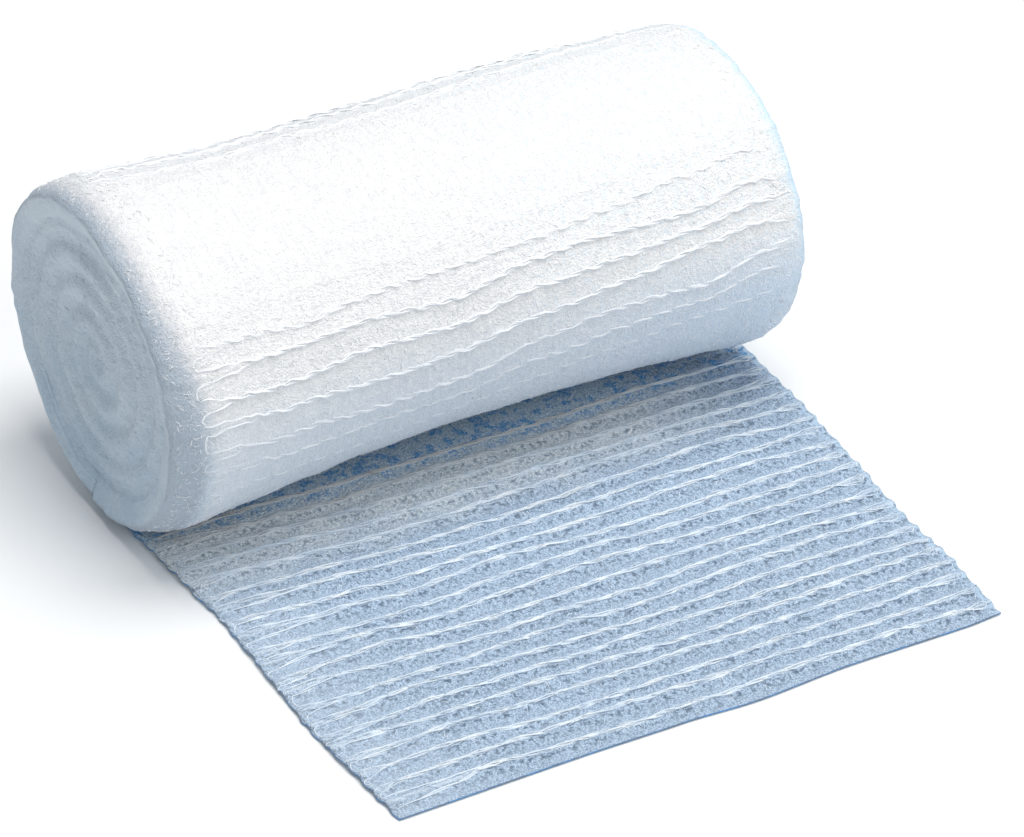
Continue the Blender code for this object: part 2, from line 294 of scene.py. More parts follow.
def uneven(x, y, seed):
    """Smooth noise between -1 and 1, with one bump to each unit of x and of y."""
    draws = np.random.default_rng(seed).uniform(-1.0, 1.0, (NOISE_CELLS, NOISE_CELLS))
    x, y = np.broadcast_arrays(x, y)
    column, row = np.floor(x).astype(int), np.floor(y).astype(int)
    over, up = ramp(x - column, 0.0, 1.0), ramp(y - row, 0.0, 1.0)

    def at(right, above):
        return draws[(column + right) % NOISE_CELLS, (row + above) % NOISE_CELLS]

    return blend(blend(at(0, 0), at(1, 0), over), blend(at(0, 1), at(1, 1), over), up)


def rib_phase(ribs):
    """How far a place is past the rib before it, as a share of the way to the next one."""
    return ribs - np.floor(ribs)


def near_rib(ribs, pitch):
    """Distance to the nearest rib in millimetres."""
    phase = rib_phase(ribs)
    return np.minimum(phase, 1.0 - phase) * pitch


# -------------------- the wound roll's surface

def girth(along, angle):
    """What the roll's uneven girth adds to its radius, on top and low down."""
    return sum(read(ROLL_GIRTH, along, part) * read(GIRTH_SHARES, angle, part) for part in (1, 2))


def roll_wander(along, angle):
    """How far a rib has turned away from its own angle."""
    ribs = angle / RIB_ANGLE - 0.5
    calm = ramp(angle, 0.0, STEP_CALM) * ramp(360.0 - angle, 0.0, STEP_CALM)
    front = blend(BACK_WANDER, 1.0, ramp(angle, FRONT_FROM, FRONT_TO))
    slow = front * read(ROLL_WANDER, along) + np.sin(np.radians(9.0 * along + 2.3 * angle))
    hand = ramp(ribs, *LINES_FADE[:2]) * (1.0 - ramp(ribs, *LINES_FADE[2:]))
    course = blend(slow, line_bend(FRONT_LINES, LINE_STATIONS, along, ribs), hand)
    own = uneven(along / 5.5, np.round(ribs) * 3.7, 3)
    between = 1.0 - 2.0 * np.abs(ribs - np.round(ribs))
    return calm * (course + OWN_WANDER * own * ramp(between, 0.0, 1.0))


def line_bend(lines, stations, along, ribs):
    """How far the ribs leave their even places, eased between the lines of ribs and the stations."""
    bends, places = np.array(lines)[:, 1:], np.array(stations)
    column = np.clip(np.searchsorted(places, along), 1, len(places) - 1)
    over = ramp(along, places[column - 1], places[column])
    ribs = np.clip(ribs - lines[0][0], 0.0, len(lines) - 1.0)
    row = np.minimum(np.floor(ribs).astype(int), len(lines) - 2)
    ends = (blend(bends[line, column - 1], bends[line, column], over) for line in (row, row + 1))
    return blend(*ends, ramp(ribs - row, 0.0, 1.0))


def past_barrel(reach):
    """How far a place lies past the barrel's end."""
    return np.maximum(np.abs(reach) - BARREL_HALF, 0.0)


def rim(past):
    """Share of the radius, depth under the end's plane and tilt of the surface, past the barrel's end."""
    tilt = np.clip(past / RIM_ARC, 0.0, 1.0) * math.pi / 2
    fall = np.clip((past - RIM_ARC) / RIM_FALL, 0.0, 1.0)
    inward = np.clip((past - RIM_END) / FACE_RADIUS, 0.0, 1.0)
    share = 1.0 - (1.0 - CREST_SHARE) * (1.0 - np.cos(tilt))
    share = (share - (CREST_SHARE - GROOVE_SHARE) * fall) - GROOVE_SHARE * inward
    depth = RIM_DEPTH * (1.0 - np.sin(tilt)) + GROOVE_DEPTH * fall ** GROOVE_CURVE
    return share, depth + (DISH_DEPTH - GROOVE_DEPTH) * inward, tilt


def roll_place(reach, angle, lift, clear=0.0):
    """Points of the roll. Reach runs from its middle along the barrel and on over the rim and the end
    face; lift is outwards; clear is how far they stay above what the roll lies on."""
    end = np.sign(reach)
    past = past_barrel(reach)
    share, depth, tilt = rim(past)
    turned = np.radians(angle)
    fade = ramp(share, 0.0, SWIRL_FADE) * ramp(GROOVE_SHARE - share, 0.0, SWIRL_FADE)
    swirl = SWIRL_HEIGHT * fade * np.cos(2.0 * np.pi * (share / SWIRL_PITCH + angle / 360.0))
    wave = RIM_WAVE * (1.0 + np.sin(2.0 * turned + np.radians(70.0) * end)) / 2.0
    depth = depth + swirl + wave * share * ramp(past, 0.0, RIM_ARC)
    along = end * np.where(past > 0.0, HALF_LENGTH - depth + lift * np.sin(tilt), np.abs(reach))
    angle = angle + roll_wander(along, angle) * ramp(share, 0.5, CREST_SHARE)
    turned = np.radians(angle)
    outer = ramp(share, GROOVE_SHARE, CREST_SHARE)
    flat = 1.0 - ramp(np.abs(along), FLAT_FROM, FLAT_TO)
    sag = SAG * flat * (1.0 - ramp(angle, 0.0, SAG_REACH)) * outer
    extra = girth(along, angle) * outer + lift * np.cos(tilt)
    across = (HALF_WIDTH + extra) * share * np.sin(turned)
    height = AXIS_HEIGHT - (HALF_HEIGHT + extra + sag) * share * np.cos(turned)
    floor = np.where(angle < 180.0, 0.0, LIES_ON) + clear
    return np.stack([along, across, np.maximum(height, floor)], axis=-1)


def roll_relief(reach, angle, settings):
    """How far the outer turn's cloth stands out: ribs, valleys between them, puffs and crepe."""
    ribs = angle / RIB_ANGLE - 0.5
    phase = rib_phase(ribs)
    past = past_barrel(reach)
    barrel = 1.0 - ramp(past, 0.3 * RIM_ARC, RIM_ARC)
    calm = ramp(angle, 0.0, RIB_ANGLE / 2) * ramp(360.0 - angle, 0.0, RIB_ANGLE / 2)
    ridge = np.exp(-((near_rib(ribs, RIB_GIRTH) / 0.35) ** 2))
    lumps = 1.0 + 0.35 * uneven(reach / 2.4, np.round(ribs) * 7.3, 11)
    hollow = ramp(phase, 0.0, TUCK_END) * (1.0 - phase) ** 1.3
    puff = 1.0 + 0.5 * uneven(reach / 6.0, np.floor(ribs) * 5.7, 12)
    crepe = uneven(reach / 0.75, angle * 0.55, 13) + 0.6 * uneven(reach / 1.9, angle * 0.35, 14)
    relief = settings.rib_height / MM * ridge * lumps - settings.valley_depth / MM * hollow * puff
    plain = 1.0 - 0.7 * ramp(angle, HAZE_FROM, HAZE_TO)
    return (relief * plain * (1.0 - taut(angle)) + settings.crepe_height / MM * crepe) * barrel * calm


def taut(angle):
    """How much flatter the cloth lies over the top of the roll."""
    return TAUT_SHARE * (1.0 - ramp(np.abs(angle - TAUT_AT), *TAUT_REACH))


def hidden(angle):
    """How far the yarn has sunk into the cloth: over the top, in front and low down."""
    top = SUNK_TOP * (1.0 - ramp(np.abs(angle - TAUT_AT), *HIDDEN_REACH))
    return top + SUNK_FRONT * ramp(angle, FRONT_TO, HAZE_FROM) + SUNK_LOW * ramp(angle, HAZE_FROM, HAZE_TO)


def face_relief(reach, angle, settings):
    """The soft lumps of the end faces and rims, the same at 0 and 360 degrees."""
    past = past_barrel(reach)
    share = rim(past)[0]
    side = share * MEAN_RADIUS * np.sin(np.radians(angle)) + 60.0 * np.sign(reach)
    up = share * MEAN_RADIUS * np.cos(np.radians(angle)) + 60.0
    lumps = uneven(side / 5.0, up / 5.0, 21) + 0.4 * uneven(side / 1.6, up / 1.6, 22)
    fine = 0.5 * uneven(side / 0.7, up / 0.7, 23)
    face = ramp(past, 0.6 * RIM_ARC, RIM_END) * ramp(share, 0.0, SWIRL_FADE)
    curl = ramp(past, 0.0, 0.4 * RIM_ARC) * (1.0 - ramp(past, RIM_ARC, RIM_END))
    knots = uneven(side / 1.3, up / 1.3, 24) + 0.5 * uneven(side / 3.1, up / 3.1, 25)
    return settings.face_lumps / MM * ((lumps + 0.5 * fine) * face + 0.6 * knots * curl)


# -------------------- the loose end's surface

def loose_place(reach, place, lift):
    """Points of the loose end. Reach runs from the middle of its width to either selvedge, place runs
    across it from the step towards the cut end, and lift is upwards from its own surface."""
    ribs = (FIRST_RIB - place) / RIB_PITCH
    on_rib = np.cos(np.pi * rib_phase(ribs)) ** 2
    share = reach / LOOSE_HALF
    scallop = (0.18 + 0.12 * uneven(np.sign(share) * 5.0, place / 3.3, 30)) * np.abs(share) ** 12
    left, right = (read(SELVEDGES, place, side) for side in (1, 2))
    along = (left + right) / 2 + (right - left) / 2 * share
    along = along + scallop * np.where(share < 0.0, on_rib - 1.0, on_rib)
    free = ramp(-place, 0.0, -FIRST_RIB) * ramp(place - CUT_END, 0.0, RIB_PITCH)
    cut = 1.0 - ramp(place - CUT_END, 0.0, RIB_PITCH)
    bend = line_bend(RIB_LINES, RIB_STATIONS, along, ribs)
    across = place + free * (bend + 0.12 * uneven(along / 3.5, np.round(ribs) * 3.1, 31))
    across = across + cut * (read(CUT_LINE, along) - CUT_END)
    swell = 0.12 * free * (1.0 + np.sin(along * 0.16 + place * 0.31))
    return np.stack([along, across, swell + lift + np.zeros_like(along)], axis=-1)


def loose_relief(reach, place, settings):
    """Height of the single layer's upper side: ribs, crepe, and curled selvedges."""
    ribs = (FIRST_RIB - place) / RIB_PITCH
    free = ramp(-place, PRESSED_TO, FULL_FROM) * ramp(place - CUT_END, 0.0, 0.6)
    ridge = np.exp(-((near_rib(ribs, RIB_PITCH) / 0.5) ** 2))
    lumps = 1.0 + 0.3 * uneven(reach / 2.2, np.round(ribs) * 6.1, 32)
    crepe = uneven(reach / 0.8, place / 0.7, 33) + 0.5 * uneven(reach / 2.1, place / 1.3, 34)
    height = settings.rib_height / MM * ridge * lumps + settings.crepe_height / MM * crepe
    return settings.cloth_height / MM + free * height


# -------------------- meshes and threads

def grid(columns, rows, place, cloth_uv, endness=None):
    """A grid of faces whose points go where place(column, row) says, with those that meet made one."""
    bm = bmesh.new()
    bmesh.ops.create_grid(bm, x_segments=columns - 1, y_segments=rows - 1, size=0.5)
    flat = np.array([vert.co[:2] for vert in bm.verts]) + 0.5
    column = np.rint(flat[:, 0] * (columns - 1)).astype(int)
    row = np.rint(flat[:, 1] * (rows - 1)).astype(int)
    for vert, point in zip(bm.verts, to_frame(place(column, row))):
        vert.co = point
    uv_layer = bm.loops.layers.uv.new("cloth")
    uvs = cloth_uv(column, row)
    bm.verts.index_update()
    for face in bm.faces:
        for loop in face.loops:
            loop[uv_layer].uv = uvs[loop.vert.index]
    if endness is not None:
        layer = bm.verts.layers.float.new("endness")
        for vert, value in zip(bm.verts, endness(column, row)):
            vert[layer] = value
    bmesh.ops.remove_doubles(bm, verts=bm.verts, dist=MEET)
    bmesh.ops.recalc_face_normals(bm, faces=bm.faces)
    return bm


def to_frame(points):
    """Millimetres as drawn become metres in the frame."""
    return (points + np.array(ZERO)) * MM


def finish_piece(obj, material, replaced=None):
    """Every piece has its own finish and rides with the cloth."""
    obj.data.materials.append(material)
    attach(obj, BODY)
    if replaced:
        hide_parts(replaced)


def mesh_object(bm, name):
    """A linked, smooth object made from a bmesh."""
    mesh = bpy.data.meshes.new(name)
    bm.to_mesh(mesh)
    bm.free()
    mesh.shade_smooth()
    obj = bpy.data.objects.new(name, mesh)
    bpy.context.scene.collection.objects.link(obj)
    return obj


def threads(name, paths, radius, rounding=0):
    """Threads along paths of points in millimetres, with their widths, as one object of closed meshes."""
    curve = bpy.data.curves.new(name, "CURVE")
    curve.dimensions = "3D"
    curve.bevel_depth = radius
    curve.bevel_resolution = rounding
    curve.use_fill_caps = True
    for path, width in paths:
        spline = curve.splines.new("POLY")
        spline.points.add(len(path) - 1)
        four = np.ones((len(path), 4))
        four[:, :3] = to_frame(path)
        spline.points.foreach_set("co", four.ravel())
        spline.points.foreach_set("radius", np.broadcast_to(width, len(path)).astype(float))
    holder = bpy.data.objects.new(name + "_path", curve)
    tubes = bpy.data.meshes.new_from_object(holder)
    bm = bmesh.new()
    bm.from_mesh(tubes)
    bmesh.ops.remove_doubles(bm, verts=bm.verts, dist=MEET / 10.0)
    bpy.data.objects.remove(holder)
    bpy.data.curves.remove(curve)
    bpy.data.meshes.remove(tubes)
    return mesh_object(bm, name)


def weft(ribs, half, pitch, pair_half, pair_turn, step, seed):
    """One yarn laid back and forth over the ribs: reach, distance past the first rib, and over or under.

    A rib is two passes. They join in a small loop at its right end, and at the left selvedge the lower
    pass turns round the panel to the next rib.
    """
    draws = np.random.default_rng(seed)
    even = np.linspace(LOOP - half, half - LOOP, int(2 * half / step))
    near_left, near_right = (1.0 - ramp(half + side * even, 0.0, DRIFT_FROM) for side in (1.0, -1.0))
    bow = np.radians(np.linspace(-60.0, 60.0, 5))
    out = LOOP * (np.cos(bow) - 0.5) * 2.0
    left_end = 0.0
    parts = []
    for rib in range(ribs):
        middle = rib * pitch
        left = 1.0 - ramp(even + half, 0.0, draws.uniform(*LEFT_OPENS))
        right = 1.0 - ramp(half - even, 0.0, draws.uniform(*RIGHT_OPENS))
        opened = np.maximum(left, right)
        phase = 2.0 * np.pi * (even / pair_turn + draws.uniform())
        gap = draws.uniform(*LEFT_GAP) * left + draws.uniform(*RIGHT_GAP) * right
        apart = pair_half * (np.cos(phase) * (1.0 - opened) + opened) + gap
        over = np.sin(phase) * (1.0 - opened)
        right_end, next_left = draws.uniform(-LOOP_DRIFT, LOOP_DRIFT, 2)
        upper = even + left_end * near_left + right_end * near_right
        lower = even + next_left * near_left + right_end * near_right
        rest = pitch / 2 - apart[0]
        parts.append((upper, middle - apart, over))
        parts.append((upper[-1] + out, middle + apart[-1] * np.sin(bow), 0.0 * bow))
        parts.append((lower[::-1], middle + apart[::-1], -over[::-1]))
        parts.append((lower[0] - out, middle + pitch / 2 + rest * np.sin(bow), 0.0 * bow))
        left_end = next_left
    return [np.concatenate(column) for column in zip(*parts[:-1])]


def bowed(reach, across, length, turn, bow):
    """The three points of each fibre, given its middle, its length, where it heads and how far it bows."""
    step, aside = length * FIBRE_STEP, bow * FIBRE_UP
    return (reach + step * np.cos(turn) - aside * np.sin(turn),
            across + step * np.sin(turn) + aside * np.cos(turn))


def fibres(count, reaches, acrosses, lengths, bend, lean, seed, heading=math.pi / 2):
    """Short bowed fibres scattered over a span of reach and of distance across, three points each."""
    draws = np.random.default_rng(seed)
    length = draws.uniform(*lengths, (count, 1))
    turn = draws.normal(heading, lean, (count, 1))
    bow = draws.uniform(-bend, bend, (count, 1)) * length
    reach = draws.uniform(*reaches, (count, 1))
    return bowed(reach, draws.uniform(*acrosses, (count, 1)), length, turn, bow)


def slubs(points, length, seed):
    """A yarn's uneven width, point by point, with a thick place about every so many points."""
    return 1.0 + 0.2 * uneven(np.arange(len(points)) / length, 0.0, seed)


def plies(reach, across, lift, spread):
    """Two plies wound about a yarn's course."""
    steps = np.hypot(np.diff(reach), np.diff(across))
    length = np.concatenate([[0.0], np.cumsum(steps)])
    for start in (0.0, np.pi):
        turn = 2.0 * np.pi * length / PLY_TURN + start
        yield reach, across + spread * np.cos(turn), lift + spread * np.sin(turn)


# -------------------- finishes

def new_finish(name):
    """A material, its node tree and the piece's own coordinates."""
    material = bpy.data.materials.new(name)
    material.use_nodes = True
    tree = material.node_tree
    return material, tree, tree.nodes.new("ShaderNodeTexCoord").outputs["Object"]


def cloth_course(tree):
    """The cloth's own map: reach across it in course units, and ribs along it."""
    cloth_map = tree.nodes.new("ShaderNodeUVMap")
    cloth_map.uv_map = "cloth"
    return cloth_map.outputs["UV"]


def axes(tree, vector):
    """The three parts of a vector."""
    split = tree.nodes.new("ShaderNodeSeparateXYZ")
    tree.links.new(vector, split.inputs["Vector"])
    return tuple(split.outputs)


def noise(tree, source, size, detail, stretch=(1.0, 1.0, 1.0)):
    """Noise with bumps of a size in metres, on the piece's own coordinates."""
    mapping = tree.nodes.new("ShaderNodeMapping")
    mapping.inputs["Scale"].default_value = tuple(s / size for s in stretch)
    texture = tree.nodes.new("ShaderNodeTexNoise")
    texture.inputs["Scale"].default_value = 1.0
    texture.inputs["Detail"].default_value = detail
    tree.links.new(source, mapping.inputs["Vector"])
    tree.links.new(mapping.outputs["Vector"], texture.inputs["Vector"])
    return texture.outputs["Fac"]


def levels(tree, value, low, high):
    """A value spread from 0 at low to 1 at high."""
    node = tree.nodes.new("ShaderNodeMapRange")
    node.inputs["From Min"].default_value = low
    node.inputs["From Max"].default_value = high
    tree.links.new(value, node.inputs["Value"])
    return node.outputs["Result"]


def over_span(tree, value, span, zero=0.0):
    """A length spread from 0 to 1 over a span in millimetres, counted from zero."""
    return levels(tree, value, *((zero + end) * MM for end in span))


def mixed(tree, share, first, second):
    """Two colours, or links to colours, mixed by a share."""
    node = tree.nodes.new("ShaderNodeMix")
    node.data_type = "RGBA"
    tree.links.new(share, node.inputs["Factor"])
    for socket, colour in ((node.inputs[6], first), (node.inputs[7], second)):
        if isinstance(colour, bpy.types.NodeSocket):
            tree.links.new(colour, socket)
        else:
            socket.default_value = (*colour, 1.0)
    return node.outputs[2]


def maths(tree, operation, first, second=0.0):
    """An operation on two numbers or links to numbers."""
    node = tree.nodes.new("ShaderNodeMath")
    node.operation = operation
    for socket, value in zip(node.inputs, (first, second)):
        if isinstance(value, bpy.types.NodeSocket):
            tree.links.new(value, socket)
        else:
            socket.default_value = value
    return node.outputs["Value"]


def times(tree, first, *others):
    """The product of numbers or links to numbers."""
    for other in others:
        first = maths(tree, "MULTIPLY", first, other)
    return first


def painted(tree, tone, colour, *shares):
    """A tone with a colour painted over it by the product of the shares."""
    return mixed(tree, times(tree, *shares), tone, colour)


def cotton(material, tone, grain, depth):
    """Cotton of a tone: a grain of a depth in metres, no gloss, and the faint sheen of loose fibres."""
    tree = material.node_tree
    shader = tree.nodes["Principled BSDF"]
    tree.links.new(tone, shader.inputs["Base Color"])
    bump = tree.nodes.new("ShaderNodeBump")
    bump.inputs["Strength"].default_value = 1.0
    bump.inputs["Distance"].default_value = depth
    tree.links.new(grain, bump.inputs["Height"])
    tree.links.new(bump.outputs["Normal"], shader.inputs["Normal"])
    for name, value in COTTON.items():
        shader.inputs[name].default_value = value
    return material


def yarn_finish(name, light, shade, near=None, low=None):
    """Bleached cotton yarn, with faint tints along it, and painted shade close by the roll or low down."""
    material, tree, place = new_finish(name)
    tint = levels(tree, noise(tree, place, 0.0025, 3.0), 0.35, 0.65)
    tone = mixed(tree, tint, shade, light)
    if near:
        # painted shade where the roll's shadow falls
        tone = painted(tree, tone, near, by_roll(tree, place, NEAR_YARN))
    if low:
        # painted shade low down on the roll
        tone = painted(tree, tone, low, over_span(tree, axes(tree, place)[2], LOW_YARN))
    return cotton(material, tone, noise(tree, place, 0.0003, 2.0), 0.00008)


def by_roll(tree, place, span):
    """Where the roll's shadow is painted on the loose end: 0 on its outer part and 1 past the span, close by
    the roll, except at the lit end on the right, with uneven borders."""
    x, y, _ = axes(tree, place)
    drift = times(tree, noise(tree, place, BORDER_DRIFT * MM, 2.0), BORDER_DRIFT * MM)
    near = over_span(tree, maths(tree, "ADD", y, drift), span, ZERO.y + BORDER_DRIFT / 2)
    lit = over_span(tree, maths(tree, "ADD", x, drift), NEAR_END, ZERO.x + BORDER_DRIFT / 2)
    return times(tree, near, lit)


def roll_finish(settings):
    """The outer turn: white crepe with painted shade past the ribs in front, where it turns down behind, low
    down and round the rims, and blue-grey on the ends, where only cloth edges show.
    """
    material, tree, place = new_finish("roll_crepe")
    x, _, z = axes(tree, place)
    course = cloth_course(tree)
    ribs = axes(tree, course)[1]
    wales = noise(tree, course, 1.0, 1.0, WALE_STREAKS)
    speckle = maths(tree, "ADD", noise(tree, place, 0.0003, 2.0), times(tree, wales, 0.6))
    speckle = levels(tree, speckle, 0.68, 0.95)
    # painted shade low down: the cloth turns darker and bluer
    low = over_span(tree, z, LOW_CLOTH)
    tint = mixed(tree, low, settings.cloth_colour, settings.low_cloth_painted_shade)
    shade = mixed(tree, low, settings.panel_colour, settings.low_panel_painted_shade)
    cloth = mixed(tree, speckle, shade, tint)
    past_rib = levels(tree, maths(tree, "FRACT", ribs), 0.85, 0.08)
    front, back = ([levels(tree, ribs, *span) for span in spans] for spans in (FRONT_RIBS, BACK_RIBS))
    # painted shade just past each rib in front, bluer low down
    tuck = mixed(tree, low, settings.painted_tuck_shade, settings.low_panel_painted_shade)
    cloth = painted(tree, cloth, tuck, *front, past_rib, 0.4)
    # painted shade where the cloth turns down behind
    cloth = painted(tree, cloth, settings.painted_back_shade, *back, 0.7)
    # painted shade, bluer still low down towards the right
    cloth = painted(tree, cloth, settings.low_right_painted_shade, over_span(tree, x, LOW_RIGHT), low, 0.8)
    flecks = levels(tree, noise(tree, place, 0.00022, 1.0), 0.56, 0.68)
    cloth = painted(tree, cloth, settings.cloth_colour, flecks, 0.7)
    attribute = tree.nodes.new("ShaderNodeAttribute")
    attribute.attribute_name = "endness"
    endness = attribute.outputs["Fac"]
    felt, ends = end_tone(tree, place, settings)
    frayed = maths(tree, "ADD", endness, times(tree, felt, 0.25))
    right = over_span(tree, x, RIGHT_PART)
    # painted shade over the rims: grey at the left, bluish at the right, bluer low down
    rim_shade_tone = mixed(tree, right, settings.left_rim_painted_shade, settings.right_rim_painted_shade)
    rim_shade_tone = painted(tree, rim_shade_tone, settings.end_colour, over_span(tree, z, LOW_RIM))
    tone = painted(tree, cloth, rim_shade_tone, levels(tree, frayed, *RIM_TONE))
    # painted shade on the left edge; the right edge takes the end faces' tone
    edge_tone = mixed(tree, right, settings.left_edge_painted_shade, ends)
    tone = painted(tree, tone, edge_tone, levels(tree, frayed, *EDGE_TONE))
    tone = painted(tree, tone, ends, levels(tree, endness, *FACE_TONE))
    grain = maths(tree, "ADD", noise(tree, place, 0.0005, 3.0), noise(tree, place, 0.0002, 1.0))
    return cotton(material, tone, grain, 0.00018)


def end_tone(tree, place, settings):
    """Felt and colour of the end faces, with painted light making them paler high up."""
    blur = levels(tree, noise(tree, place, 0.007, 3.0), 0.35, 0.65)
    felt = levels(tree, noise(tree, place, 0.0006, 3.0), 0.3, 0.7)
    felted = times(tree, maths(tree, "ADD", blur, felt), 0.5)
    ends = mixed(tree, felted, settings.end_shade, settings.end_colour)
    # painted light, paler high up
    lit = over_span(tree, axes(tree, place)[2], LIT_END)
    return felt, painted(tree, ends, settings.end_painted_light, lit, 0.5)


def end_finish(settings):
    """The edges of the turns, in the tone of the end faces, with its painted light high up."""
    material, tree, place = new_finish("turn_edges")
    tone = end_tone(tree, place, settings)[1]
    return cotton(material, tone, noise(tree, place, 0.0005, 3.0), 0.0002)


def sheet_finish(settings):
    """The single layer's ground: slate blue where it is open, in clumps beside each rib, with painted shade
    where the roll's shadow falls and painted light at its left.
    """
    material, tree, place = new_finish("loose_ground")
    reach, ribs, _ = axes(tree, cloth_course(tree))
    phase = maths(tree, "FRACT", ribs)
    clumps = levels(tree, noise(tree, place, 0.00055, 3.0), 0.48, 0.62)
    speckle = levels(tree, noise(tree, place, 0.0002, 2.0), 0.36, 0.6)
    gaps = times(tree, levels(tree, phase, 0.05, 0.2), levels(tree, phase, 0.8, 0.25), clumps)
    ground = mixed(tree, speckle, settings.ground_shade, settings.ground_colour)
    ground = painted(tree, ground, settings.gap_colour, gaps)
    off_rib = maths(tree, "ABSOLUTE", maths(tree, "SUBTRACT", phase, 0.5))
    bundle = maths(tree, "ADD", off_rib, times(tree, speckle, 0.04))
    ground = painted(tree, ground, settings.yarn_shade, levels(tree, bundle, 0.40, 0.48), 0.7)
    ragged = maths(tree, "SUBTRACT", reach, times(tree, clumps, 0.08))
    band = levels(tree, ragged, *((LOOSE_HALF - inside) / COURSE_UNIT for inside in SELVEDGE_BAND))
    ground = painted(tree, ground, settings.selvedge_colour, band, 0.8)
    # painted light: the loose end paler towards its left
    left = levels(tree, reach, *(end / COURSE_UNIT for end in LEFT_PALE))
    ground = painted(tree, ground, settings.yarn_shade, left, 0.2)
    first_panels = levels(tree, ribs, 1.0, 0.0)
    # painted shade: a grey tone where the roll's shadow falls, bluish in the first panels, over the rendered
    # shadow
    grey = mixed(tree, speckle, settings.painted_shadow_speckle, settings.painted_shadow_ground)
    grey = painted(tree, grey, settings.painted_shadow_gap, gaps)
    bluish = mixed(tree, speckle, settings.blue_shade, settings.blue_ground)
    grey = painted(tree, grey, bluish, first_panels, 0.7)
    ground = painted(tree, ground, grey, by_roll(tree, place, NEAR_ROLL))
    patches = levels(tree, noise(tree, place, 0.0011, 3.0), 0.5, 0.6)
    thin = levels(tree, speckle, 1.8, 0.0)
    ground = painted(tree, ground, settings.blue_colour, patches, thin, first_panels)
    return cotton(material, ground, noise(tree, place, 0.00028, 2.0), 0.0004)


# -------------------- what a user would change

def size(name, description, millimetres):
    return FloatProperty(name=name, description=description, default=millimetres * MM, min=0.0,
                         precision=5, subtype="DISTANCE", unit="LENGTH")


def number(name, description, default):
    return IntProperty(name=name, description=description, default=default, min=0)


def strength(name, description, default, unit="NONE"):
    return FloatProperty(name=name, description=description, default=default, min=0.0, unit=unit)


def colour(name, description, rgb):
    return FloatVectorProperty(name=name, description=description, default=rgb, min=0.0, max=1.0,
                               subtype="COLOR", size=3)


class RollSettings(bpy.types.PropertyGroup):
    """Sizes and colours of the wound roll."""

    rib_height: size("Rib height", "How far a rib's cloth stands out", 0.06)
    valley_depth: size("Valley depth", "How far the cloth tucks in past a rib", 0.06)
    crepe_height: size("Crepe", "Height of the crepe's small puckers", 0.05)
    face_lumps: size("End lumps", "Height of the lumps on the end faces", 0.25)
    pair_half: size("Pair", "Half the distance between a rib's two passes of yarn", 0.2)
    ply_radius: size("Ply radius", "Radius of one ply of the weft yarn", 0.1)
    fibre_count: number("Fibres", "Fibres that stand up round the barrel", 5000)
    rim_count: number("Rim fibres", "Curled fibres on each rim", 1500)
    face_count: number("End fibres", "Fibres on each end face", 900)
    fibre_radius: size("Fibre radius", "Radius of a loose fibre", 0.04)
    turn_pitch: size("Turn pitch", "Distance between two turns on the end faces", 0.85)
    cloth_colour: colour("Cloth", "Bleached cloth of the outer turn", (0.93, 0.925, 0.915))
    panel_colour: colour("Panel", "Open cloth between the ribs", (0.80, 0.80, 0.805))
    # Painted shade: the cloth just past a rib in front, where it tucks in
    painted_tuck_shade: colour("Tuck", "The cloth where it tucks in past a rib", (0.76, 0.755, 0.75))
    # Painted shade: the cloth where it turns down behind, near the top's outline
    painted_back_shade: colour("Back", "The cloth where it turns down behind", (0.64, 0.70, 0.76))
    # Painted shade: the cloth low down, nearest to the loose end, darker and bluer
    low_cloth_painted_shade: colour("Low cloth", "The cloth low down, where it is nearest to the loose end",
                       (0.83, 0.865, 0.905))
    # Painted shade low down, where the cloth is more open
    low_panel_painted_shade: colour("Low shade", "The same cloth where it is more open", (0.72, 0.765, 0.82))
    # Painted shade: bluer still low down by the right rim
    low_right_painted_shade: colour("Low right", "The same cloth by the right rim", (0.60, 0.73, 0.88))
    # Painted shade: the grey of the left rim, which faces away from the light
    left_rim_painted_shade: colour("Rim", "Cloth that curls in over the left rim", (0.60, 0.62, 0.66))
    # Painted shade: the edge of the cloth round the left end, dark also where the light reaches it
    left_edge_painted_shade: colour("Left shade", "Edge of the cloth round the left end", (0.42, 0.485, 0.56))
    # Painted shade: the bluish tone of the right rim
    right_rim_painted_shade: colour("Right rim", "Cloth that curls in over the right rim", (0.56, 0.78, 0.95))
    end_colour: colour("End", "Edges of the turns", (0.61, 0.70, 0.78))
    end_shade: colour("End shade", "Edges of the turns where they lie deeper", (0.46, 0.575, 0.69))
    # Painted light: the end faces paler high up
    end_painted_light: colour("End light", "Edges of the turns high up", (0.78, 0.83, 0.87))
    felt_colour: colour("Felt", "Fibres of the end faces", (0.70, 0.78, 0.86))
    yarn_colour: colour("Yarn", "Weft yarn", (0.95, 0.955, 0.96))
    yarn_shade: colour("Yarn shade", "Weft yarn where it is thinner", (0.90, 0.915, 0.93))
    # Painted shade: the weft yarn greyer low down
    low_yarn_painted_shade: colour("Low yarn", "Weft yarn low down", (0.88, 0.91, 0.95))


